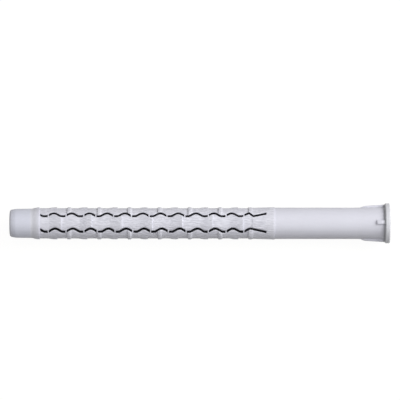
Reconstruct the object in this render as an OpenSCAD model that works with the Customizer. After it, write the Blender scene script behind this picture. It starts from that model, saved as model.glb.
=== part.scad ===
// Long frame-fixing wall plug, moulded in one piece.
// The axis lies along X, the tip at negative X and the collar at positive X.
// The origin is on the axis, in the plane of the collar's underside.
// The two mould halves part at Z = 0, so the front and back strips face +Z and -Z.

/* [Overall] */
// Length from the tip to the underside of the collar
body_length = 120; // [110:1:180]

/* [Sleeve] */
// Outside diameter of the plain sleeve between expansion zone and neck
sleeve_d = 10; // [9.7:0.05:10.3]

/* [Nose] */
// Diameter across the end face of the tip
tip_d = 8.6; // [8.2:0.1:9]
// Radius of the rounded edge round the end face
tip_edge_r = 0.5; // [0.2:0.05:0.8]
// Length of the lead-in taper behind the end face
tip_taper_length = 1.65; // [1:0.05:3]
// Diameter where the lead-in taper ends
nose_front_d = 9.2; // [9.05:0.05:9.3]
// Diameter of the nose where it meets the first ridge
nose_d = 9.36; // [9.1:0.02:9.6]
// Length of the plain nose, from the end face to the first ridge
nose_length = 7.2; // [5:0.1:10]

/* [Ridges at the ends of the expansion zone] */
// Diameter of the ridge behind the nose
front_ridge_d = 10.25; // [9.9:0.05:10.6]
// Length of that ridge's rounded rise
front_ridge_rise = 2.1; // [1.5:0.1:3]
// Width of that ridge's flat top
front_ridge_land = 0.25; // [0.1:0.05:0.6]
// Diameter of the ridge in front of the sleeve
rear_ridge_d = 10.38; // [10.3:0.02:10.7]
// Length of that ridge's long rise
rear_ridge_rise = 6.8; // [4:0.1:8]
// Height of the small step at which the long rise starts
rear_ridge_step = 0.1; // [0.05:0.01:0.2]
// Width of that ridge's flat top
rear_ridge_land = 0.45; // [0.2:0.05:0.8]

/* [Expansion zone] */
// Length of the slotted zone, from ridge to ridge
zone_length = 75.25; // [60:0.25:76]
// Diameter of the zone between its teeth
zone_d = 9.68; // [9.5:0.02:9.8]

/* [Teeth] */
// Distance from one tooth to the next along the plug
tooth_pitch = 9.66; // [8.5:0.02:12]
// Distance from the front ridge to the drop of the first side tooth
first_tooth = 5.67; // [4:0.1:7]
// Length of a side tooth's rounded rise
side_tooth_rise = 1.6; // [1:0.1:2.4]
// Width of a side tooth's flat top
side_tooth_land = 1.1; // [0.3:0.1:1.5]
// Height of a side tooth
side_tooth_height = 0.26; // [0.15:0.01:0.38]
// Distance from a side tooth's drop to the foot of its counter-tooth
counter_tooth_gap = 3.1; // [2.4:0.05:3.6]
// Length of the counter-tooth's steep flank, on the side of the tip
counter_tooth_front = 0.3; // [0.1:0.05:0.4]
// Width of the counter-tooth's crest
counter_tooth_crest = 0.65; // [0.3:0.05:0.8]
// Length of the counter-tooth's other flank
counter_tooth_back = 0.6; // [0.3:0.05:0.8]
// Height of the counter-tooth
counter_tooth_height = 0.31; // [0.15:0.01:0.38]
// Distance from a side tooth's drop to the drop of the next strip tooth
strip_tooth_gap = 1.4; // [0.6:0.1:2.4]
// Length of a strip tooth's rising flank
strip_tooth_rise = 3.85; // [2.5:0.05:4.5]
// Height of a strip tooth
strip_tooth_height = 0.4; // [0.15:0.01:0.4]

/* [Wavy slots] */
// Width of a slot, across the plug
slot_width = 0.7; // [0.4:0.05:0.75]
// Distance of each slot's middle line from the plug's centre plane
slot_offset = 2.46; // [2.2:0.02:2.7]
// Length of one wave
wave_pitch = 5.68; // [4.6:0.02:7]
// Height of the waves, from trough to peak of the middle line
wave_height = 0.95; // [0.6:0.05:1.2]
// Distance from the front ridge to the start of the slots
slot_start_gap = 0.25; // [0.2:0.05:1]
// Distance from the front ridge to the first peak of the front slot at +Y
first_peak = 4.6; // [3.8:0.05:6]
// Distance by which the waves of the front slot at -Y stand behind those of the slot at +Y
wave_lag = 0.45; // [0:0.05:0.8]
// Length of a slot's straight tail, behind its last peak
slot_tail = 5.5; // [4.6:0.1:6]
// Distance of the slots' rear ends from the plug's centre plane
slot_end_offset = 2.9; // [2.5:0.05:3.2]
// Length of the bridges that interrupt the slots
bridge_length = 0.42; // [0.3:0.02:0.7]
// Distance from the first and last bridges to the peaks behind them
bridge_to_peak = 1.74; // [1.4:0.02:2.1]
// Distance from the peaks to the middle bridges behind them
peak_to_bridge = 2.1; // [1.6:0.02:2.2]
// Number of bridges in front of their peaks at each end of a slot
end_bridges = 3; // [1:1:4]
// Thickness of the web left between front and back slots
web_thickness = 0.4; // [0.2:0.05:0.8]

/* [Bore] */
// Diameter of the shank bore through the sleeve
shank_bore_d = 6.5; // [5.6:0.1:7]
// Diameter of the pilot bore where it leaves the shank bore
pilot_d = 4.4; // [4:0.1:4.8]
// Diameter of the pilot bore at the tip
tip_hole_d = 3.6; // [3:0.1:4]
// Length of the funnel between shank bore and pilot bore
funnel_length = 3; // [2:0.1:5]

/* [Neck and collar] */
// Length of the neck, which widens slightly towards the collar
neck_length = 8; // [8:0.1:12]
// Diameter of the neck at the collar
neck_d = 10.24; // [10.1:0.02:10.8]
// Diameter of the collar
collar_d = 12.9; // [12.7:0.1:15]
// Thickness of the collar
collar_thickness = 1.7; // [1.4:0.1:3]
// Width of the bevel between the collar's underside and its edge
collar_bevel = 0.35; // [0.1:0.05:0.5]
// Radius of the collar's edge at its outer face
collar_face_edge_r = 0.3; // [0.2:0.05:0.45]
// Width of the flat rim round the countersunk seat
seat_rim = 0.7; // [0.55:0.05:1]
// Full angle of the countersunk seat
seat_angle = 90; // [75:1:120]

/* [Side fins of the neck] */
// Thickness of the two fins
fin_thickness = 1.2; // [0.8:0.1:2]
// Length of the fins
fin_length = 7.9; // [5:0.1:7.9]
// Length of the steep ramp at the start of a fin
fin_ramp_length = 1.35; // [0.8:0.05:2.5]
// Distance over both fins where their ramps end
fin_start_span = 11.15; // [10.6:0.05:11.4]
// Distance over both fins at the collar
fin_end_span = 12.05; // [11.5:0.05:12.1]

/* [Front and back lugs] */
// Width of the two lugs in front of the collar
lug_width = 1.2; // [0.8:0.1:2]
// Length of the lugs
lug_length = 2.6; // [1.5:0.1:4]
// Distance over both lugs
lug_span = 11.5; // [11.2:0.1:12.2]

/* [Hidden] */

$fn = 96;
arc_steps = 6;
samples_per_wave = 10;
// Share of a wave that its flat trough takes
trough_share = 0.2;
// Share of a wave from the last peak to the dip in front of a slot's rear end
dip_share = 0.32;
// Depth to which teeth, fins and lugs are rooted in the wall and the collar
root = 0.5;
// Length by which a cut runs past the surface it opens
overcut = 1;

// Places along the axis
tip_x = -body_length;
front_ridge_x = tip_x + nose_length;
zone_x = front_ridge_x + front_ridge_rise + front_ridge_land;
sleeve_x = zone_x + zone_length;
rear_ridge_x = sleeve_x - rear_ridge_land - rear_ridge_rise;
neck_x = -neck_length;

// Radii
sleeve_r = sleeve_d / 2;
zone_r = zone_d / 2;
collar_r = collar_d / 2;
cut_r = collar_r + overcut;

// Bore
shank_bore_r = shank_bore_d / 2;
pilot_r = pilot_d / 2;
tip_hole_r = tip_hole_d / 2;
seat_r = collar_r - seat_rim;
seat_slope = tan(seat_angle / 2);
seat_x = collar_thickness - (seat_r - shank_bore_r) / seat_slope;

// Teeth, as many as the zone takes in front of the rear ridge
tooth_room = rear_ridge_x - zone_x - first_tooth;
last_tooth = floor(tooth_room / tooth_pitch);
tooth_x = [for (i = [0 : last_tooth]) zone_x + first_tooth + i * tooth_pitch];

// Waves, as many as the zone takes in front of the slots' tails
peak_x = zone_x + first_peak;
wave_room = sleeve_x - rear_ridge_land - peak_x - slot_tail;
last_peak = floor(wave_room / wave_pitch);
tail_x = peak_x + last_peak * wave_pitch;
dip_x = tail_x + dip_share * wave_pitch;
slot_start_x = zone_x + slot_start_gap;
slot_end_x = tail_x + slot_tail;

// The wave is a cosine whose troughs are cut off flat
wave_gain = 2 / (1 + cos(180 * trough_share));
function wave(phase) = max(-1, 1 + wave_gain * (cos(360 * phase) - 1));

// Middle line of the front slot on one side, from its start to its rear end
function first_peak_x(side) = side > 0 ? peak_x : peak_x + wave_lag;
function slot_y(x, side) = side * slot_offset + wave_height / 2 * wave((x - first_peak_x(side)) / wave_pitch);
sample_step = wave_pitch / samples_per_wave;
function first_sample(side) = ceil((slot_start_x - first_peak_x(side)) / sample_step + 0.01);
function sample_x(side) = [
    for (i = [first_sample(side) : last_peak * samples_per_wave]) first_peak_x(side) + i * sample_step
];
function dip(side) = side > 0 ? [[dip_x, slot_offset - wave_height / 2]] : [];
function middle_line(side) = concat(
    [[slot_start_x, slot_y(slot_start_x, side)]],
    [for (x = sample_x(side)) [x, slot_y(x, side)]],
    dip(side),
    [[slot_end_x, side * slot_end_offset]]
);

// Bridges stand in front of the first and last few peaks, and behind the peaks between them.
// Those in front stand side by side in both front slots, and those behind follow the waves of their slot.
front_bridge_x = peak_x - bridge_to_peak;
function middle_bridge_x(side) = first_peak_x(side) + peak_to_bridge;
function bridge_x(side) = concat(
    [for (i = [0 : end_bridges - 1]) front_bridge_x + i * wave_pitch],
    [for (i = [end_bridges - 1 : last_peak - end_bridges - 1]) middle_bridge_x(side) + i * wave_pitch],
    [for (i = [last_peak - end_bridges + 1 : last_peak]) front_bridge_x + i * wave_pitch]
);

function reversed(list) = [for (i = [len(list) - 1 : -1 : 0]) list[i]];

// Points of an arc about [x, r], from one angle to the other
function arc(x, r, radius, start, end) = [
    for (i = [0 : arc_steps])
        let (angle = start + (end - start) * i / arc_steps)
            [x + radius * cos(angle), r + radius * sin(angle)]
];

// Points of a rise that starts steep and flattens out
function rounded_rise(x, r, length, height) = [
    for (i = [0 : arc_steps]) [x + length * i / arc_steps, r + height * sin(90 * i / arc_steps)]
];

// Turns a profile of [x, radius] points about the plug's axis
module turned(profile) {
    rotate([0, 90, 0])
        rotate_extrude()
            polygon([for (point = profile) [point[1], point[0]]]);
}

// The outside without teeth: nose, two ridges, zone, sleeve, neck and collar
module outer_body() {
    turned(concat(
        [[tip_x, 0]],
        arc(tip_x + tip_edge_r, tip_d / 2 - tip_edge_r, tip_edge_r, 180, 90),
        [[tip_x + tip_taper_length, nose_front_d / 2]],
        rounded_rise(front_ridge_x, nose_d / 2, front_ridge_rise, (front_ridge_d - nose_d) / 2),
        [[zone_x, front_ridge_d / 2]],
        [[zone_x, zone_r]],
        [[rear_ridge_x, zone_r]],
        [[rear_ridge_x, zone_r + rear_ridge_step]],
        [[sleeve_x - rear_ridge_land, rear_ridge_d / 2]],
        [[sleeve_x, rear_ridge_d / 2]],
        [[sleeve_x, sleeve_r]],
        [[neck_x, sleeve_r]],
        [[0, neck_d / 2]],
        [[0, collar_r - collar_bevel]],
        [[collar_bevel, collar_r]],
        arc(collar_thickness - collar_face_edge_r, collar_r - collar_face_edge_r, collar_face_edge_r, 90, 0),
        [[collar_thickness, 0]]
    ));
}

// The bore: tapered pilot, funnel, shank bore and countersunk seat
module bore() {
    turned([
        [tip_x - overcut, 0],
        [tip_x - overcut, tip_hole_r],
        [tip_x, tip_hole_r],
        [sleeve_x - funnel_length, pilot_r],
        [sleeve_x, shank_bore_r],
        [seat_x, shank_bore_r],
        [collar_thickness + overcut, seat_r + overcut * seat_slope],
        [collar_thickness + overcut, 0]
    ]);
}

// The space above the strip between the two front slots, or the same behind
module strip_space() {
    linear_extrude(height = cut_r)
        polygon(concat(middle_line(1), reversed(middle_line(-1))));
}

module front_and_back() {
    children();
    rotate([180, 0, 0]) children();
}

// Side tooth, which rises towards the collar to a flat top and drops at x
module side_tooth(x) {
    start_x = x - side_tooth_land - side_tooth_rise;
    turned(concat(
        [[start_x, zone_r - root]],
        rounded_rise(start_x, zone_r, side_tooth_rise, side_tooth_height),
        [[x, zone_r + side_tooth_height]],
        [[x, zone_r - root]]
    ));
}

// Strip tooth, which rises evenly towards the collar and drops at x
module strip_tooth(x) {
    turned([
        [x - strip_tooth_rise, zone_r - root],
        [x - strip_tooth_rise, zone_r],
        [x, zone_r + strip_tooth_height],
        [x, zone_r - root]
    ]);
}

// Counter-tooth whose foot is at x and whose steep flank faces the tip
module counter_tooth(x) {
    crest_r = zone_r + counter_tooth_height;
    crest_x = x + counter_tooth_front;
    crest_end_x = crest_x + counter_tooth_crest;
    turned([
        [x, zone_r - root],
        [x, zone_r],
        [crest_x, crest_r],
        [crest_end_x, crest_r],
        [crest_end_x + counter_tooth_back, zone_r],
        [crest_end_x + counter_tooth_back, zone_r - root]
    ]);
}

// Teeth and counter-teeth on the two side sectors
module side_teeth() {
    difference() {
        for (x = tooth_x) {
            side_tooth(x);
            counter_tooth(x + counter_tooth_gap);
        }
        front_and_back() strip_space();
    }
}

// Teeth on the front and back strips
module strip_teeth() {
    intersection() {
        for (x = tooth_x) {
            strip_tooth(x + strip_tooth_gap);
        }
        front_and_back() strip_space();
    }
}

// The two fins, which rise from the neck on a steep ramp and then widen slowly
module side_fins() {
    ramp_height = fin_start_span / 2 - sleeve_r;
    buried_ramp = fin_ramp_length * root / ramp_height;
    outline = [
        [-fin_length - buried_ramp, sleeve_r - root],
        [fin_ramp_length - fin_length, fin_start_span / 2],
        [0, fin_end_span / 2],
        [root, fin_end_span / 2],
        [root, sleeve_r - root]
    ];
    translate([0, 0, -fin_thickness / 2])
        linear_extrude(height = fin_thickness) {
            polygon(outline);
            mirror([0, 1]) polygon(outline);
        }
}

// One of the two lugs, which run into the collar
module lug() {
    translate([-lug_length, -lug_width / 2, sleeve_r - root])
        cube([lug_length + root, lug_width, lug_span / 2 - sleeve_r + root]);
}

// Outline of one wavy slot, cut into lengths by its bridges
module slot_outline(side) {
    line = middle_line(side);
    edge = [0, slot_width / 2];
    difference() {
        polygon(concat([for (p = line) p + edge], reversed([for (p = line) p - edge])));
        for (x = bridge_x(side)) {
            translate([x - bridge_length / 2, side * slot_offset - wave_height])
                square([bridge_length, 2 * wave_height]);
        }
    }
}

// The two wavy slots of the front, cut down to the web
module front_slots() {
    translate([0, 0, web_thickness / 2])
        linear_extrude(height = cut_r)
            for (side = [-1, 1]) slot_outline(side);
}

module wall_plug() {
    color([0.82, 0.82, 0.86])
        difference() {
            union() {
                outer_body();
                side_teeth();
                strip_teeth();
                side_fins();
                front_and_back() lug();
            }
            bore();
            front_and_back() front_slots();
        }
}

wall_plug();
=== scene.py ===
"""The looks of the wall plug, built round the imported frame.

The plug lies along X with its tip at negative X. The mesh code works in millimetres, in the frame's own axes,
and each finished piece is brought to metres at the end.
"""

import math

import bmesh
import bpy
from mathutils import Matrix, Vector


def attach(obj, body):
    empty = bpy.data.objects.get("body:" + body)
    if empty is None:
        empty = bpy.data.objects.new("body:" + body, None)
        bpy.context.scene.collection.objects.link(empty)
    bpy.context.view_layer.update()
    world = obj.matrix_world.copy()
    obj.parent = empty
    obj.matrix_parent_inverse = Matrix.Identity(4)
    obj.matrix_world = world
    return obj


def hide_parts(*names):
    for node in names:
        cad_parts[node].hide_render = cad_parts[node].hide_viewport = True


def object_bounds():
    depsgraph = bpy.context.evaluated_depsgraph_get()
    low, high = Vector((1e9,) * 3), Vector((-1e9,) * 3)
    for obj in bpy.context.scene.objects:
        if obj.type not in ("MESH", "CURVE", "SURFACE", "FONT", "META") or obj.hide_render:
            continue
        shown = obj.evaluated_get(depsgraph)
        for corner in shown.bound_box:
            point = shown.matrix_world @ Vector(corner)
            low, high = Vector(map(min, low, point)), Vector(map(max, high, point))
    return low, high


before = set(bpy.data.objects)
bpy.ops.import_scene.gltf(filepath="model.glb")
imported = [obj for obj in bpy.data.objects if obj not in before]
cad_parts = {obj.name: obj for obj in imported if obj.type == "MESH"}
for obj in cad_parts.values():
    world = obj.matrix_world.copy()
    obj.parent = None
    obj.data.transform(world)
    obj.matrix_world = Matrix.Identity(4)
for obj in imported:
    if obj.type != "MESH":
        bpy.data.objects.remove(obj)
cad_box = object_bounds()

MM = 0.001

# Overall places along the axis. The collar's underside is at 0.
TIP_X = cad_box[0].x / MM
FACE_X = cad_box[1].x / MM
COLLAR_R = min(cad_box[1].y, cad_box[1].z) / MM
NECK_X = -8.0
SLEEVE_X = -35.2
ZONE_X = -110.45

# Nose and the ridge behind it. The ridge's rise is an S in steps, and its lean makes it start sooner.
TIP_R = 4.3
TIP_EDGE_R = 0.62
TAPER_END_X = TIP_X + 1.95
TAPER_END_R = 4.61
TAPER_END_ROUNDING = 0.12
NOSE_R = 4.68
FRONT_RIDGE_R = 5.125
FRONT_RIDGE_RISE = 2.45
FRONT_RIDGE_STEPS = 9
FRONT_RIDGE_LEAN = 0.87
FRONT_RIDGE_LAND = 0.2
FRONT_RIDGE_X = ZONE_X - FRONT_RIDGE_LAND - FRONT_RIDGE_RISE

# Expansion zone, the ridge in front of the sleeve, and the sleeve
ZONE_R = 4.84
REAR_RIDGE_R = 5.16
REAR_RIDGE_RISE = 6.8
REAR_RIDGE_STEP = 0.1
REAR_RIDGE_STEP_ROUNDING = 0.04
REAR_RIDGE_LAND = 0.45
REAR_RIDGE_LAND_ROUNDING = 0.15
REAR_RIDGE_X = SLEEVE_X - REAR_RIDGE_LAND - REAR_RIDGE_RISE
SLEEVE_R = 5.0

# Length along the axis of the steep drops behind both ridges, and the rounding of the edges there
DROP_LENGTH = 0.02
DROP_EDGE_ROUNDING = 0.03

# Neck and collar
NECK_ROUNDING = 0.5
NECK_END_R = 5.25
NECK_END_ROUNDING = 0.12
COLLAR_BEVEL = 0.35
COLLAR_BEVEL_ROUNDING = 0.04
COLLAR_DRAFT = 0.04
COLLAR_DRAFT_ROUNDING = 0.08
FACE_EDGE_R = 0.4

# Bore, from the tip to the countersunk seat in the collar. The bevels of its mouths reach past the end faces.
TIP_HOLE_R = 1.8
TIP_HOLE_EDGE_R = 0.15
TIP_HOLE_ROUNDING = 0.1
TIP_HOLE_REACH = 0.02
PILOT_R = 1.9
FUNNEL_LENGTH = 3.0
FUNNEL_ROUNDING = 0.5
SHANK_R = 3.25
SEAT_FOOT_ROUNDING = 0.25
SEAT_R = COLLAR_R - 0.7
SEAT_EDGE_R = 0.12
SEAT_EDGE_ROUNDING = 0.08
SEAT_REACH = 0.03
OVERCUT = 1

# Fins and lugs on the neck. The root is how deep they go into the plug.
FIN_THICKNESS = 1.2
FIN_LENGTH = 7.9
FIN_RAMP = 1.35
FIN_START_R = 5.575
FIN_END_R = 6.025
FIN_EDGE_R = 0.4
LUG_WIDTH = 1.2
LUG_LENGTH = 2.6
LUG_TOP_R = 5.85
LUG_EDGE_R = 0.1
ROOT = 0.5

# Teeth, each given by the distance of its points from the drop or steep flank, and their height
TOOTH_PITCH = 9.66
TEETH = 7
TOOTH_X = [ZONE_X + 5.67 + i * TOOTH_PITCH for i in range(TEETH)]
COUNTER_TOOTH_GAP = 3.1
STRIP_TOOTH_GAP = 1.4
STRIP_TOOTH_RISE = 3.85
SIDE_TOOTH = (
    (-2.85, 0), (-2.7, 0.006), (-2.55, 0.042), (-2.3, 0.1), (-2.0, 0.165), (-1.7, 0.216), (-1.4, 0.248),
    (-1.1, 0.26), (-0.08, 0.26), (-0.04, 0.252), (-0.015, 0.21),
    (0, 0.1), (0.015, 0.02), (0.045, 0), (0.08, 0),
)
COUNTER_TOOTH = (
    (-0.04, 0), (0, 0.006), (0.04, 0.04), (0.17, 0.265), (0.21, 0.298), (0.28, 0.31),
    (0.88, 0.31), (0.96, 0.303), (1.05, 0.275), (1.46, 0.045), (1.55, 0.01), (1.65, 0),
)
STRIP_TOOTH = (
    (-4.05, 0), (-STRIP_TOOTH_RISE, 0.005), (-3.65, 0.023), (-0.06, 0.392), (-0.03, 0.392),
    (0, 0.37), (0.012, 0.2), (0.024, 0.02), (0.045, 0), (0.08, 0),
)
# How far the strips have sunk where a tooth's rise starts
STRIP_SINK = 0.1

# Wavy slots. Side 1 is the one at +Y.
SLOT_WIDTH = {1: 0.61, -1: 0.7}
# Reach on both sides over which a slot's slope is taken
SLOPE_REACH = 0.15
SLOT_OFFSET = 2.46
WAVE_PITCH = 5.68
WAVE_HEIGHT = 0.95
TROUGH_SHARE = 0.2
WAVE_LAG = 0.45
FIRST_PEAK = 4.6
FIRST_PEAK_X = {1: ZONE_X + FIRST_PEAK, -1: ZONE_X + FIRST_PEAK + WAVE_LAG}
LAST_PEAK = 11
WAVES = range(LAST_PEAK + 1)
SLOT_START_X = ZONE_X + 0.25
TAIL_X = {side: FIRST_PEAK_X[side] + LAST_PEAK * WAVE_PITCH for side in (-1, 1)}
DIP_X = TAIL_X[1] + 1.3
SLOT_END_X = TAIL_X[1] + 5.5
SLOT_END_OFFSET = {1: 2.85, -1: 3.08}
WEB = 0.4
LIP_R = 0.22
# How far a lip's rounding takes to start beside a bridge or a slot's end
LIP_START = 0.06
LIP_FULL = 0.16

# Bridges across the slots. The first and the last ones stand in front of a peak, the others behind one.
BRIDGE_LENGTH = 0.36
BRIDGE_TO_PEAK = 1.74
PEAK_TO_BRIDGE = 2.1
END_BRIDGES = 3
BRIDGE_X = {
    side: [FIRST_PEAK_X[1] - BRIDGE_TO_PEAK + i * WAVE_PITCH for i in WAVES[:END_BRIDGES]]
    + [
        FIRST_PEAK_X[side] + PEAK_TO_BRIDGE + i * WAVE_PITCH
        for i in WAVES[END_BRIDGES - 1 : LAST_PEAK - END_BRIDGES]
    ]
    + [FIRST_PEAK_X[1] - BRIDGE_TO_PEAK + i * WAVE_PITCH for i in WAVES[LAST_PEAK - END_BRIDGES + 1 :]]
    for side in (-1, 1)
}

# Rows of vertices round the plug. The front half runs from the parting line at -Y over the strip to +Y. The
# numbers count its rows from the nearer parting line. The rear half is the front one turned over.
HALF_ROWS = 56
LIP_STEPS = 3
SIDE_LIP = 13
OUTER_EDGE = SIDE_LIP + LIP_STEPS
INNER_EDGE = OUTER_EDGE + 1
STRIP_LIP = INNER_EDGE + LIP_STEPS
# Rows over which a side tooth fades out towards a slot
SIDE_TOOTH_ROWS = 8

# Parting line: a bead with its crest on row 0 and its feet on the rows beside it
BEAD_FOOT = 1
BEAD_HEIGHT = 0.03
BEAD_HALF_ANGLE = math.radians(1.0)
BEAD_END_X = NECK_X + 0.1

# Longest faces along the plug, in the zone and elsewhere
ZONE_STEP = 0.4
PLAIN_STEP = 1.6
# Stations closer than this are one
STATION_GAP = 0.008
# How far the zone's stations stay from the front ridge, the rear ridge's step and the sleeve
FRONT_RIDGE_CLEAR = 0.12
REAR_STEP_CLEAR = 0.06
SLEEVE_CLEAR = 0.6
# Where the plain stations end in front of the zone and start again behind it
PLAIN_END_X = ZONE_X - 3
PLAIN_START_X = SLEEVE_X + 0.5
# Stations beside the corners, which keep the flats next to them flat in the shading
FLAT_STATIONS = [
    TAPER_END_X - 0.15, TAPER_END_X + 0.15, FRONT_RIDGE_X - 0.2, ZONE_X - 0.07, ZONE_X + 0.09,
    REAR_RIDGE_X - 0.09, REAR_RIDGE_X + 0.09, SLEEVE_X - 0.08, SLEEVE_X + 0.06,
    NECK_X - 0.6, NECK_X + 0.6, -0.16, COLLAR_BEVEL + 0.1, FACE_X - FACE_EDGE_R - 0.04,
]

# Segments of a rounded edge
ROUND_STEPS = 3
# Vertices closer than this to the axis lie on it
ON_AXIS = 0.01
# Vertices that are one, in millimetres while a piece is built and in metres when it is finished
MERGE_MM = 1e-4
MERGE_M = 2e-7
# Edges sharper than this stay sharp in the shading
SHARP_ANGLE = math.radians(35)

# Colours of the nylon
PALE_NYLON = (0.69, 0.69, 0.762, 1)
BRIGHT_NYLON = (0.72, 0.72, 0.795, 1)
DARK_STREAK = (0.6, 0.6, 0.667, 1)
BRIGHT_STREAK = (0.81, 0.81, 0.885, 1)
COLLAR_NYLON = (0.645, 0.655, 0.68, 1)
NOSE_NYLON = (0.68, 0.695, 0.79, 1)
# Lighter nylon: wear and a painted highlight on the crests and fin edges, and painted light on the front
# ridge's rise
RUBBED_AND_PAINTED_LIGHT_NYLON = (0.76, 0.76, 0.82, 1)
# Painted shade deep in the slots
SLOT_PAINTED_SHADE = (0.07, 0.07, 0.09, 1)
# Painted shade in the corner between the neck and the collar
CORNER_PAINTED_SHADE = (0.48, 0.49, 0.51, 1)
# Shares of these colours. The rub's share is partly a painted highlight, the ridge's is painted light and the
# corner's is painted shade.
STREAK_SHARE = 1.0
NOSE_SHARE = 0.8
RUB_AND_HIGHLIGHT_SHARE = 0.5
RIDGE_LIGHT_SHARE = 0.9
CORNER_SHADE_SHARE = 0.7

# Grain of the nylon, in millimetres
CLOUDS = {"Length": 14, "Width": 6}
STREAKS = {"Length": 1.8, "Width": 0.4}
PEBBLES = {"Length": 0.3, "Width": 0.3}
GRAIN_DETAIL = 3
GRAIN_ROUGHNESS = 0.55
# The noise between these two is spread from 0 to 1
GRAIN_LOW = 0.3
GRAIN_HIGH = 0.7

# Stretches of the plug, along X in millimetres. The ridge's stretch is the front ridge's rise, which gets
# painted light. The corner is the one between the neck and the collar, and gets painted shade.
ZONE_STRETCH = {"Start": ZONE_X, "End": SLEEVE_X, "Fade": 0.6}
NOSE_STRETCH = {"Start": TIP_X - 0.8, "End": ZONE_X - FRONT_RIDGE_LAND, "Fade": 2.4}
RIDGE_LIGHT_STRETCH = {"Start": ZONE_X - 3.2, "End": ZONE_X - 0.4, "Fade": 0.9}
COLLAR_STRETCH = {"Start": 0, "End": FACE_X + 1, "Fade": 0.4}
CORNER_SHADE_STRETCH = {"Start": -0.6, "End": COLLAR_BEVEL, "Fade": 0.2}

# Distances from the axis, in millimetres: depth in the slots, where shade is painted, and crests of the teeth
# and edges of the fins, which get wear and a painted highlight
SLOT_SHADE_DEPTH = {"Start": 4.4, "Full": 3.7}
TOOTH_CRESTS = {"Start": 5.0, "Full": 5.12}
FIN_EDGES = {"Start": 5.9, "Full": 6.0}

# Finish of the nylon. The grain's height is in millimetres, the reliefs are shares of it.
ROUGHNESS = 0.45
ROUGHNESS_SPREAD = 0.05
RUB_POLISH = 0.12
SPECULAR = 0.35
GRAIN_HEIGHT = 0.1
STREAK_RELIEF = 0.8
PEBBLE_RELIEF = 0.2

# Floor and world
FLOOR_Z = cad_box[0].z
FLOOR_HALF = 2
PAPER_COLOUR = (0.10, 0.098, 0.09, 1)
PAPER_GLOW = 0.94
WORLD_COLOUR = (1, 1, 1, 1)
WORLD_STRENGTH = 0.2

# Lamps: the direction that each shines from, its energy, and its width in degrees seen from the origin
KEY_LAMP = ((0.707, 0.354, 0.612), 3.8, 40)
KEY_DISTANCE = 0.7
TOP_LAMP = ((0.5, 0, 0.87), 1.55, 115)

# Camera. The view's centre lies in the plane of the axis.
CAMERA_DISTANCE = 1.2
CAMERA_ELEVATION = math.radians(85.7)
VIEW_CENTRE = Vector((-59.1 * MM, 7.49 * MM, 0))
VIEW_WIDTH = 0.1282
SENSOR_WIDTH = 36
NEAREST_SEEN = 0.01
FARTHEST_SEEN = 10


def profile_wire(bm, corners):
    """An outline of (x, radius, rounding) corners, laid at -Y, with its corners rounded."""
    verts = [bm.verts.new((x, -r, 0)) for x, r, _ in corners]
    for a, b in zip(verts, verts[1:]):
        bm.edges.new((a, b))
    for rounding in sorted({c[2] for c in corners if c[2]}, reverse=True):
        group = [v for v, c in zip(verts, corners) if c[2] == rounding]
        bmesh.ops.bevel(
            bm, geom=group, offset=rounding, offset_type="OFFSET", affect="VERTICES",
            segments=ROUND_STEPS, profile=0.5, material=-1, clamp_overlap=True,
        )


def cut_stations(bm, stations):
    """Adds a vertex to the outline at each of these places along the axis."""
    for x in stations:
        bmesh.ops.bisect_plane(
            bm, geom=bm.verts[:] + bm.edges[:] + bm.faces[:], dist=STATION_GAP / 2,
            plane_co=(x, 0, 0), plane_no=(1, 0, 0),
        )


def spin_closed(bm):
    """Turns the outline about the axis into a closed skin."""
    bmesh.ops.spin(
        bm, geom=bm.verts[:] + bm.edges[:], cent=(0, 0, 0), axis=(1, 0, 0),
        angle=math.tau, steps=2 * HALF_ROWS, use_merge=True, use_duplicate=False,
    )
    bmesh.ops.remove_doubles(bm, verts=bm.verts[:], dist=MERGE_MM)
    bmesh.ops.recalc_face_normals(bm, faces=bm.faces[:])


def round_edges(bm, edges, radius):
    """Rounds these edges of a piece."""
    bmesh.ops.bevel(
        bm, geom=edges, offset=radius, offset_type="OFFSET", affect="EDGES",
        segments=ROUND_STEPS, profile=0.5, material=-1,
    )


def verts_of(geometry):
    """The vertices in what a bmesh operator gives back."""
    return [v for v in geometry if isinstance(v, bmesh.types.BMVert)]


def height_at(shape, distance):
    """Height of a tooth at a distance from its drop."""
    if not shape[0][0] < distance < shape[-1][0]:
        return 0
    for (d0, h0), (d1, h1) in zip(shape, shape[1:]):
        if distance <= d1:
            return h0 + (h1 - h0) * (distance - d0) / (d1 - d0)


def side_height(x, near):
    """Height on a side sector. The side teeth are full at the parting line and fade out towards the slots."""
    fade = math.cos(math.pi / 2 * min(1, near / SIDE_TOOTH_ROWS)) ** 2
    return max(
        max(fade * height_at(SIDE_TOOTH, x - drop), height_at(COUNTER_TOOTH, x - drop - COUNTER_TOOTH_GAP))
        for drop in TOOTH_X
    )


def strip_height(x):
    """Height on a strip, below zero where it has sunk."""
    return max(height_at(STRIP_TOOTH, x - drop - STRIP_TOOTH_GAP) for drop in TOOTH_X) - strip_depth(x)


def strip_depth(x):
    """How far a strip has sunk at x. It sinks behind each drop, and comes back up on the next tooth."""
    drops = [drop + STRIP_TOOTH_GAP for drop in TOOTH_X]
    for last_drop, drop in zip([ZONE_X] + drops, drops):
        foot = drop - STRIP_TOOTH_RISE
        if last_drop < x <= foot:
            return STRIP_SINK * (1 - ((foot - x) / (foot - last_drop)) ** 2)
        if foot < x < drop:
            return STRIP_SINK * (drop - x) / (drop - foot)
    return 0


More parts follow.
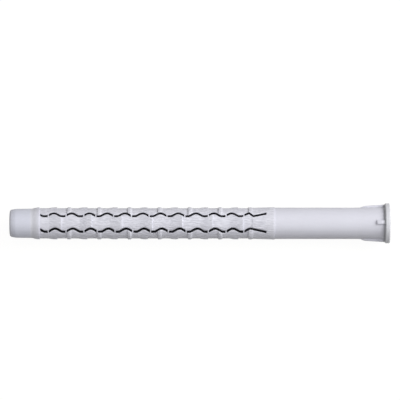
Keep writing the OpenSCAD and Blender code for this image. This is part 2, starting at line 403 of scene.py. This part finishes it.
def slot_middle(x, side):
    """Place across the plug of a front slot's middle: a cosine with flat troughs, then a straight tail."""
    x = min(max(x, SLOT_START_X), SLOT_END_X)
    if x <= TAIL_X[side]:
        gain = 2 / (1 + math.cos(math.pi * TROUGH_SHARE))
        phase = (x - FIRST_PEAK_X[side]) / WAVE_PITCH
        wave = max(-1, 1 + gain * (math.cos(math.tau * phase) - 1))
        return side * SLOT_OFFSET + WAVE_HEIGHT / 2 * wave
    knots = [(TAIL_X[side], side * SLOT_OFFSET + WAVE_HEIGHT / 2), (SLOT_END_X, side * SLOT_END_OFFSET[side])]
    if side > 0:
        knots.insert(1, (DIP_X, SLOT_OFFSET - WAVE_HEIGHT / 2))
    for (x0, y0), (x1, y1) in zip(knots, knots[1:]):
        if x <= x1:
            return y0 + (y1 - y0) * (x - x0) / (x1 - x0)


def slot_half(x, side):
    """Half a slot's width across the plug. It is wider where the slot runs at a slant."""
    slope = (slot_middle(x + SLOPE_REACH, side) - slot_middle(x - SLOPE_REACH, side)) / (2 * SLOPE_REACH)
    return SLOT_WIDTH[side] / 2 * math.hypot(1, slope)


def open_reach(x, side):
    """How far x is inside an open stretch of a slot. Below zero on a bridge and past the slot's ends."""
    ends = min(x - SLOT_START_X, SLOT_END_X - x)
    bridges = min(abs(x - bridge) for bridge in BRIDGE_X[side]) - BRIDGE_LENGTH / 2
    return min(ends, bridges)


def row_place(x, base, place):
    """Angle from the strip's middle and radius of one row of the front half, at x."""
    side = -1 if place < HALF_ROWS / 2 else 1
    near = min(place, HALF_ROWS - place)
    outer = near <= OUTER_EDGE
    lift = side_height(x, near) if outer else strip_height(x)
    rounding = min(1, max(0, (open_reach(x, side) + LIP_START) / (LIP_FULL + LIP_START)))
    # The lip's quarter circle starts at the slot's edge and runs out into the surface
    from_edge = OUTER_EDGE - near if outer else near - INNER_EDGE
    turn = math.pi / 2 * min(1, from_edge / LIP_STEPS)
    radius = base + lift - LIP_R * (1 - math.sin(turn)) * rounding
    if near == 0:
        bead_rise = BEAD_HEIGHT if TAPER_END_X < x < BEAD_END_X else 0
        return side * math.pi / 2, radius + bead_rise

    # Outside the zone the rows stand at the same angles all along
    measure = radius if ZONE_X < x < SLEEVE_X else ZONE_R
    lip_step = LIP_R * (1 - math.cos(turn))
    lip_y = slot_middle(x, side) + (1 if outer else -1) * side * (slot_half(x, side) + lip_step)
    lip = math.asin(lip_y / measure)
    if from_edge <= LIP_STEPS:
        return lip, radius
    if outer:
        bead = side * (math.pi / 2 - BEAD_HALF_ANGLE)
        share = (near - BEAD_FOOT) / (SIDE_LIP - BEAD_FOOT)
        return bead + (lip - bead) * share, radius
    far_y = slot_middle(x, -side) + side * (slot_half(x, -side) + LIP_R)
    far_lip = math.asin(far_y / measure)
    share = (near - STRIP_LIP) / (HALF_ROWS - 2 * STRIP_LIP)
    return lip + (far_lip - lip) * share, radius


def finish_mesh(bm, name):
    """Makes a mesh object of a bmesh, in metres."""
    bmesh.ops.scale(bm, vec=(MM, MM, MM), verts=bm.verts[:])
    mesh = bpy.data.meshes.new(name)
    bm.to_mesh(mesh)
    bm.free()
    piece = bpy.data.objects.new(name, mesh)
    bpy.context.scene.collection.objects.link(piece)
    return piece


def skin_profile():
    """The outline from the tip to the collar's face, as (x, radius, rounding) corners."""
    rise = []
    for k in range(FRONT_RIDGE_STEPS + 1):
        share = math.sin(math.pi / 2 * (k / FRONT_RIDGE_STEPS) ** FRONT_RIDGE_LEAN) ** 2
        x = FRONT_RIDGE_X + FRONT_RIDGE_RISE * k / FRONT_RIDGE_STEPS
        rise.append((x, NOSE_R + (FRONT_RIDGE_R - NOSE_R) * share, 0))
    return [
        (TIP_X, 0, 0),
        (TIP_X, TIP_R, TIP_EDGE_R),
        (TAPER_END_X, TAPER_END_R, TAPER_END_ROUNDING),
        *rise,
        (ZONE_X, FRONT_RIDGE_R, DROP_EDGE_ROUNDING),
        (ZONE_X + DROP_LENGTH, ZONE_R, 0),
        (REAR_RIDGE_X - DROP_LENGTH, ZONE_R, REAR_RIDGE_STEP_ROUNDING),
        (REAR_RIDGE_X, ZONE_R + REAR_RIDGE_STEP, REAR_RIDGE_STEP_ROUNDING),
        (SLEEVE_X - REAR_RIDGE_LAND, REAR_RIDGE_R, REAR_RIDGE_LAND_ROUNDING),
        (SLEEVE_X - DROP_LENGTH, REAR_RIDGE_R, DROP_EDGE_ROUNDING),
        (SLEEVE_X, SLEEVE_R, 0),
        (NECK_X, SLEEVE_R, NECK_ROUNDING),
        (0, NECK_END_R, NECK_END_ROUNDING),
        (0, COLLAR_R - COLLAR_BEVEL, COLLAR_BEVEL_ROUNDING),
        (COLLAR_BEVEL, COLLAR_R - COLLAR_DRAFT, COLLAR_DRAFT_ROUNDING),
        (FACE_X, COLLAR_R, FACE_EDGE_R),
        (FACE_X, 0, 0),
    ]


def shaped_places():
    """Places along the axis where a slot, a bridge or a tooth changes its shape."""
    places = {SLOT_START_X, SLOT_END_X, TAIL_X[-1], TAIL_X[1], DIP_X}
    for end in (SLOT_START_X, SLOT_END_X):
        places |= {end - LIP_START, end + LIP_START, end - LIP_FULL, end + LIP_FULL}
    for bridge in BRIDGE_X[-1] + BRIDGE_X[1]:
        for reach in (-LIP_START, 0, LIP_FULL):
            places |= {bridge - BRIDGE_LENGTH / 2 - reach, bridge + BRIDGE_LENGTH / 2 + reach}
    for drop in TOOTH_X:
        places |= {drop + d for d, _ in SIDE_TOOTH}
        places |= {drop + COUNTER_TOOTH_GAP + d for d, _ in COUNTER_TOOTH}
        places |= {drop + STRIP_TOOTH_GAP + d for d, _ in STRIP_TOOTH}
    return places


def skin_stations():
    """Places along the axis where the skin gets a ring of vertices, besides the outline's own corners."""
    stations = []
    for x in sorted(shaped_places()):
        before_step = ZONE_X + FRONT_RIDGE_CLEAR < x < REAR_RIDGE_X - REAR_STEP_CLEAR
        after_step = REAR_RIDGE_X + REAR_STEP_CLEAR < x < SLEEVE_X - SLEEVE_CLEAR
        if (before_step or after_step) and (not stations or x - stations[-1] > STATION_GAP):
            stations.append(x)
    filled = []
    for a, b in zip(stations, stations[1:]):
        parts = max(1, round((b - a) / ZONE_STEP))
        filled += [a + (b - a) * k / parts for k in range(parts)]
    filled.append(stations[-1])
    plain = [x * PLAIN_STEP for x in range(int(TIP_X / PLAIN_STEP), 0)]
    plain = [x for x in plain if x < PLAIN_END_X or x > PLAIN_START_X]
    return filled + plain + FLAT_STATIONS


def shape_rows(bm):
    """Moves the vertices of the spun skin to their rows' places. Returns the layer that holds the rows."""
    row_of = bm.verts.layers.int.new("row")
    for v in bm.verts:
        base = math.hypot(v.co.y, v.co.z)
        if base < ON_AXIS:
            v[row_of] = -1
            continue
        turn = math.atan2(v.co.y, v.co.z) + math.pi / 2
        row = round(turn / math.pi * HALF_ROWS) % (2 * HALF_ROWS)
        half, place = divmod(row, HALF_ROWS)
        angle, radius = row_place(v.co.x, base, place)
        angle += half * math.pi
        v.co.y = radius * math.sin(angle)
        v.co.z = radius * math.cos(angle)
        v[row_of] = row
    return row_of


def sink_slots(bm, row_of):
    """Sinks the faces between the slots' edges as far as the web, where a slot is open."""
    edges = {-1: {OUTER_EDGE, INNER_EDGE}, 1: {HALF_ROWS - OUTER_EDGE, HALF_ROWS - INNER_EDGE}}
    for half in (0, 1):
        slots = []
        for face in bm.faces:
            rows = {v[row_of] for v in face.verts}
            if -1 in rows or {r // HALF_ROWS for r in rows} != {half}:
                continue
            places = {r % HALF_ROWS for r in rows}
            for side in (-1, 1):
                if places == edges[side] and open_reach(face.calc_center_median().x, side) > 0:
                    slots.append(face)
        sunk = bmesh.ops.extrude_face_region(bm, geom=slots)
        for v in verts_of(sunk["geom"]):
            v.co.z = WEB / 2 if half == 0 else -WEB / 2
        bmesh.ops.delete(bm, geom=slots, context="FACES")


def plug_skin():
    """The outside of the plug as one closed skin, with teeth and wavy slots."""
    bm = bmesh.new()
    profile_wire(bm, skin_profile())
    cut_stations(bm, skin_stations())
    spin_closed(bm)
    sink_slots(bm, shape_rows(bm))
    return finish_mesh(bm, "plug")


def bore_cutter():
    """The space of the bore: pilot, funnel, shank bore and countersunk seat, with rounded mouths."""
    seat_x = FACE_X - (SEAT_R - SHANK_R)
    bm = bmesh.new()
    profile_wire(
        bm,
        [
            (TIP_X - OVERCUT, 0, 0),
            (TIP_X - OVERCUT, TIP_HOLE_R + OVERCUT, 0),
            (TIP_X - TIP_HOLE_REACH, TIP_HOLE_R + TIP_HOLE_EDGE_R, 0),
            (TIP_X + TIP_HOLE_EDGE_R, TIP_HOLE_R, TIP_HOLE_ROUNDING),
            (SLEEVE_X - FUNNEL_LENGTH, PILOT_R, FUNNEL_ROUNDING),
            (SLEEVE_X, SHANK_R, FUNNEL_ROUNDING),
            (seat_x, SHANK_R, SEAT_FOOT_ROUNDING),
            (FACE_X - SEAT_EDGE_R, SEAT_R - SEAT_EDGE_R, SEAT_EDGE_ROUNDING),
            (FACE_X + SEAT_REACH, SEAT_R + SEAT_EDGE_R, 0),
            (FACE_X + OVERCUT, SEAT_R + OVERCUT, 0),
            (FACE_X + OVERCUT, 0, 0),
        ],
    )
    spin_closed(bm)
    return finish_mesh(bm, "bore")


def fins():
    """The two side fins, with rounded edges."""
    height = FIN_START_R - SLEEVE_R
    buried = FIN_RAMP * ROOT / height
    bm = bmesh.new()
    for side in (-1, 1):
        outline = [
            (-FIN_LENGTH - buried, SLEEVE_R - ROOT),
            (FIN_RAMP - FIN_LENGTH, FIN_START_R),
            (0, FIN_END_R),
            (ROOT, FIN_END_R),
            (ROOT, SLEEVE_R - ROOT),
        ]
        face = bm.faces.new([bm.verts.new((x, side * r, -FIN_THICKNESS / 2)) for x, r in outline])
        risen = bmesh.ops.extrude_face_region(bm, geom=[face], use_keep_orig=True)
        bmesh.ops.translate(bm, vec=(0, 0, FIN_THICKNESS), verts=verts_of(risen["geom"]))
    bmesh.ops.recalc_face_normals(bm, faces=bm.faces[:])
    crest = [e for e in bm.edges if min(abs(v.co.y) for v in e.verts) > SLEEVE_R]
    slopes = [
        e for e in bm.edges
        if max(abs(v.co.y) for v in e.verts) > SLEEVE_R and e not in crest
        and abs(e.verts[0].co.x - e.verts[1].co.x) > ROOT
    ]
    round_edges(bm, crest + slopes, FIN_EDGE_R)
    return finish_mesh(bm, "fins")


def lugs():
    """The front and back lugs, with rounded edges."""
    bm = bmesh.new()
    low = SLEEVE_R - ROOT
    for side in (-1, 1):
        cube = bmesh.ops.create_cube(bm, size=1)
        bmesh.ops.scale(bm, vec=(LUG_LENGTH + ROOT, LUG_WIDTH, LUG_TOP_R - low), verts=cube["verts"])
        bmesh.ops.translate(
            bm, vec=((ROOT - LUG_LENGTH) / 2, 0, side * (LUG_TOP_R + low) / 2), verts=cube["verts"],
        )
    round_edges(bm, [e for e in bm.edges if max(abs(v.co.z) for v in e.verts) > SLEEVE_R + ROOT], LUG_EDGE_R)
    return finish_mesh(bm, "lugs")


def join_or_cut(piece, other, operation):
    """Unites a piece with another solid or cuts that solid out of it, and removes the other."""
    modifier = piece.modifiers.new("work", "BOOLEAN")
    modifier.operation = operation
    modifier.object = other
    modifier.solver = "EXACT"
    graph = bpy.context.evaluated_depsgraph_get()
    made = bpy.data.meshes.new_from_object(piece.evaluated_get(graph))
    piece.modifiers.clear()
    piece.data = made
    bpy.data.objects.remove(other)


def shade(piece):
    """Smooth faces, apart from the sharp edges."""
    bm = bmesh.new()
    bm.from_mesh(piece.data)
    bmesh.ops.remove_doubles(bm, verts=bm.verts[:], dist=MERGE_M)
    for face in bm.faces:
        face.smooth = True
    for edge in bm.edges:
        edge.smooth = len(edge.link_faces) == 2 and edge.calc_face_angle() < SHARP_ANGLE
    bm.to_mesh(piece.data)
    bm.free()


plug = plug_skin()
join_or_cut(plug, fins(), "UNION")
join_or_cut(plug, lugs(), "UNION")
join_or_cut(plug, bore_cutter(), "DIFFERENCE")
shade(plug)
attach(plug, "root")
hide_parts("wall_plug")


def node(tree, kind, inputs=None, **settings):
    """A shader node with its settings. Each input gets a value, or the output that feeds it."""
    made = tree.nodes.new(kind)
    for key, value in settings.items():
        setattr(made, key, value)
    for key, value in (inputs or {}).items():
        if isinstance(value, bpy.types.NodeSocket):
            tree.links.new(value, made.inputs[key])
        else:
            made.inputs[key].default_value = value
    return made


def node_group(name, inputs, output):
    """A node group with its named inputs and one named output. Returns its tree and its input node."""
    tree = bpy.data.node_groups.new(name, "ShaderNodeTree")
    for label, kind in inputs.items():
        tree.interface.new_socket(label, in_out="INPUT", socket_type=kind)
    tree.interface.new_socket(output, in_out="OUTPUT", socket_type="NodeSocketFloat")
    return tree, tree.nodes.new("NodeGroupInput")


def ramp(tree, value, start, full):
    """A mask that goes smoothly from 0 at start to 1 at full."""
    made = node(
        tree, "ShaderNodeMapRange", {"Value": value, "From Min": start, "From Max": full},
        interpolation_type="SMOOTHSTEP",
    )
    return made.outputs["Result"]


def math_of(tree, operation, a, b):
    """The output of a math node."""
    return node(tree, "ShaderNodeMath", {0: a, 1: b}, operation=operation).outputs[0]


def grain_group():
    """Cloudy grain from 0 to 1, drawn out along the plug. Length and Width are in millimetres."""
    tree, given = node_group(
        "moulding_grain",
        {"Place": "NodeSocketVector", "Length": "NodeSocketFloat", "Width": "NodeSocketFloat"}, "Grain",
    )
    place, length, width = (given.outputs[name] for name in ("Place", "Length", "Width"))
    size = node(tree, "ShaderNodeCombineXYZ", {"X": length, "Y": width, "Z": width})
    drawn = node(tree, "ShaderNodeVectorMath", {0: place, 1: size.outputs[0]}, operation="DIVIDE")
    noise = node(
        tree, "ShaderNodeTexNoise",
        {"Vector": drawn.outputs[0], "Scale": 1, "Detail": GRAIN_DETAIL, "Roughness": GRAIN_ROUGHNESS},
    )
    spread = node(
        tree, "ShaderNodeMapRange",
        {"Value": noise.outputs["Fac"], "From Min": GRAIN_LOW, "From Max": GRAIN_HIGH},
    )
    node(tree, "NodeGroupOutput", {"Grain": spread.outputs["Result"]})
    return tree


def stretch_group():
    """A mask of one stretch of the plug, from Start to End along X, that fades over Fade at both."""
    tree, given = node_group(
        "stretch_of_plug",
        {
            "Place": "NodeSocketVector", "Start": "NodeSocketFloat",
            "End": "NodeSocketFloat", "Fade": "NodeSocketFloat",
        },
        "Mask",
    )
    place, start, end, fade = (given.outputs[name] for name in ("Place", "Start", "End", "Fade"))
    x = node(tree, "ShaderNodeSeparateXYZ", {0: place}).outputs["X"]
    risen = ramp(tree, x, start, math_of(tree, "ADD", start, fade))
    not_fallen = ramp(tree, x, end, math_of(tree, "SUBTRACT", end, fade))
    node(tree, "NodeGroupOutput", {"Mask": math_of(tree, "MULTIPLY", risen, not_fallen)})
    return tree


def radius_group():
    """A mask by the distance from the plug's axis, from 0 at Start to 1 at Full."""
    tree, given = node_group(
        "distance_from_axis",
        {"Place": "NodeSocketVector", "Start": "NodeSocketFloat", "Full": "NodeSocketFloat"}, "Mask",
    )
    place, start, full = (given.outputs[name] for name in ("Place", "Start", "Full"))
    across = node(tree, "ShaderNodeVectorMath", {0: place, 1: (0, 1, 1)}, operation="MULTIPLY")
    radius = node(tree, "ShaderNodeVectorMath", {0: across.outputs[0]}, operation="LENGTH")
    node(tree, "NodeGroupOutput", {"Mask": ramp(tree, radius.outputs["Value"], start, full)})
    return tree


def nylon():
    """Satin moulded nylon: pale lilac grey, with streaky grain on the slotted zone, painted shade deep in the
    slots and in the corner at the collar, painted light on the front ridge's rise, and crests lighter from
    wear and a painted highlight.
    """
    made = bpy.data.materials.new("moulded_nylon")
    made.use_nodes = True
    tree = made.node_tree
    shader = tree.nodes["Principled BSDF"]
    grain, stretch, radius = grain_group(), stretch_group(), radius_group()
    coordinates = node(tree, "ShaderNodeTexCoord").outputs["Object"]
    in_mm = (1 / MM, 1 / MM, 1 / MM)
    place = node(tree, "ShaderNodeMapping", {"Vector": coordinates, "Scale": in_mm}).outputs[0]

    def masked(group, inputs):
        return node(tree, "ShaderNodeGroup", {"Place": place, **inputs}, node_tree=group).outputs[0]

    def times(a, b):
        return math_of(tree, "MULTIPLY", a, b)

    def blend(share, below, above):
        # Inputs 6 and 7 and output 2 of a mix node are the ones for colours
        return node(tree, "ShaderNodeMix", {0: share, 6: below, 7: above}, data_type="RGBA").outputs[2]

    clouds = masked(grain, CLOUDS)
    streaks = masked(grain, STREAKS)
    pebbles = masked(grain, PEBBLES)
    zone = masked(stretch, ZONE_STRETCH)
    nose = masked(stretch, NOSE_STRETCH)
    ridge = masked(stretch, RIDGE_LIGHT_STRETCH)
    collar = masked(stretch, COLLAR_STRETCH)
    corner = masked(stretch, CORNER_SHADE_STRETCH)
    # Mask of the painted shade, stronger the deeper into a slot
    slot_shade = times(zone, masked(radius, SLOT_SHADE_DEPTH))
    crests = times(zone, masked(radius, TOOTH_CRESTS))
    # Crests of the teeth and edges of the fins are lighter: partly wear, partly a painted highlight
    rub_and_highlight = times(math_of(tree, "MAXIMUM", crests, masked(radius, FIN_EDGES)), pebbles)

    colour = blend(clouds, PALE_NYLON, BRIGHT_NYLON)
    colour = blend(times(zone, STREAK_SHARE), colour, blend(streaks, DARK_STREAK, BRIGHT_STREAK))
    colour = blend(times(nose, NOSE_SHARE), colour, NOSE_NYLON)
    colour = blend(collar, colour, COLLAR_NYLON)
    # Painted light: the front ridge's rise is lighter, so that its slope shows less shade
    colour = blend(times(ridge, RIDGE_LIGHT_SHARE), colour, RUBBED_AND_PAINTED_LIGHT_NYLON)
    colour = blend(times(rub_and_highlight, RUB_AND_HIGHLIGHT_SHARE), colour, RUBBED_AND_PAINTED_LIGHT_NYLON)
    # Painted shade in the corner between the neck and the collar
    colour = blend(times(corner, CORNER_SHADE_SHARE), colour, CORNER_PAINTED_SHADE)
    # Painted shade deep in the slots
    colour = blend(slot_shade, colour, SLOT_PAINTED_SHADE)
    tree.links.new(colour, shader.inputs["Base Color"])

    roughness = node(
        tree, "ShaderNodeMapRange",
        {"Value": streaks, "To Min": ROUGHNESS - ROUGHNESS_SPREAD, "To Max": ROUGHNESS + ROUGHNESS_SPREAD},
    ).outputs["Result"]
    roughness = math_of(tree, "SUBTRACT", roughness, times(rub_and_highlight, RUB_POLISH))
    tree.links.new(roughness, shader.inputs["Roughness"])
    shader.inputs["Specular IOR Level"].default_value = SPECULAR

    streak_height = times(times(zone, streaks), STREAK_RELIEF)
    height = math_of(tree, "ADD", streak_height, times(pebbles, PEBBLE_RELIEF))
    bump = node(tree, "ShaderNodeBump", {"Height": height, "Strength": 1, "Distance": GRAIN_HEIGHT * MM})
    tree.links.new(bump.outputs["Normal"], shader.inputs["Normal"])
    return made


plug.data.materials.clear()
plug.data.materials.append(nylon())


def paper():
    """White paper. Its glow shows to the camera and in reflections, and gives no diffuse light."""
    made = bpy.data.materials.new("white_paper")
    made.use_nodes = True
    tree = made.node_tree
    tree.nodes.clear()
    path = node(tree, "ShaderNodeLightPath").outputs
    seen = math_of(tree, "MAXIMUM", path["Is Camera Ray"], path["Is Glossy Ray"])
    seen = math_of(tree, "MAXIMUM", seen, path["Is Transmission Ray"])
    diffuse = node(tree, "ShaderNodeBsdfDiffuse", {"Color": PAPER_COLOUR})
    glow = node(tree, "ShaderNodeEmission", {"Strength": math_of(tree, "MULTIPLY", seen, PAPER_GLOW)})
    both = node(tree, "ShaderNodeAddShader", {0: diffuse.outputs[0], 1: glow.outputs[0]})
    node(tree, "ShaderNodeOutputMaterial", {"Surface": both.outputs[0]})
    return made


def paper_floor():
    """A sheet of paper under the plug."""
    bm = bmesh.new()
    bmesh.ops.create_grid(bm, x_segments=1, y_segments=1, size=FLOOR_HALF)
    bmesh.ops.translate(bm, vec=(0, 0, FLOOR_Z), verts=bm.verts[:])
    mesh = bpy.data.meshes.new("floor")
    bm.to_mesh(mesh)
    bm.free()
    made = bpy.data.objects.new("floor", mesh)
    bpy.context.scene.collection.objects.link(made)
    made.data.materials.append(paper())
    return made


floor = paper_floor()

world = bpy.data.worlds.new("studio")
bpy.context.scene.world = world
world.use_nodes = True
world.node_tree.nodes["Background"].inputs["Color"].default_value = WORLD_COLOUR
world.node_tree.nodes["Background"].inputs["Strength"].default_value = WORLD_STRENGTH


def lamp(name, kind, toward, energy, angle):
    """A soft lamp that shines from a direction, seen from the origin."""
    data = bpy.data.lights.new(name, kind)
    data.energy = energy
    made = bpy.data.objects.new(name, data)
    made.rotation_euler = Vector(toward).to_track_quat("Z", "Y").to_euler()
    bpy.context.scene.collection.objects.link(made)
    if kind == "SUN":
        data.angle = math.radians(angle)
    else:
        data.shape = "DISK"
        data.size = 2 * KEY_DISTANCE * math.tan(math.radians(angle / 2))
        made.location = Vector(toward).normalized() * KEY_DISTANCE


lamp("key", "AREA", *KEY_LAMP)
lamp("top", "SUN", *TOP_LAMP)

camera = bpy.data.objects.new("camera", bpy.data.cameras.new("camera"))
bpy.context.scene.collection.objects.link(camera)
bpy.context.scene.camera = camera
camera.data.sensor_width = SENSOR_WIDTH
camera.data.lens = SENSOR_WIDTH * CAMERA_DISTANCE / VIEW_WIDTH
back = Vector((0, -math.cos(CAMERA_ELEVATION), math.sin(CAMERA_ELEVATION)))
camera.location = VIEW_CENTRE + back * CAMERA_DISTANCE
camera.rotation_euler = (math.pi / 2 - CAMERA_ELEVATION, 0, 0)
camera.data.clip_start = NEAREST_SEEN
camera.data.clip_end = FARTHEST_SEEN

bpy.context.scene.view_settings.view_transform = "Standard"
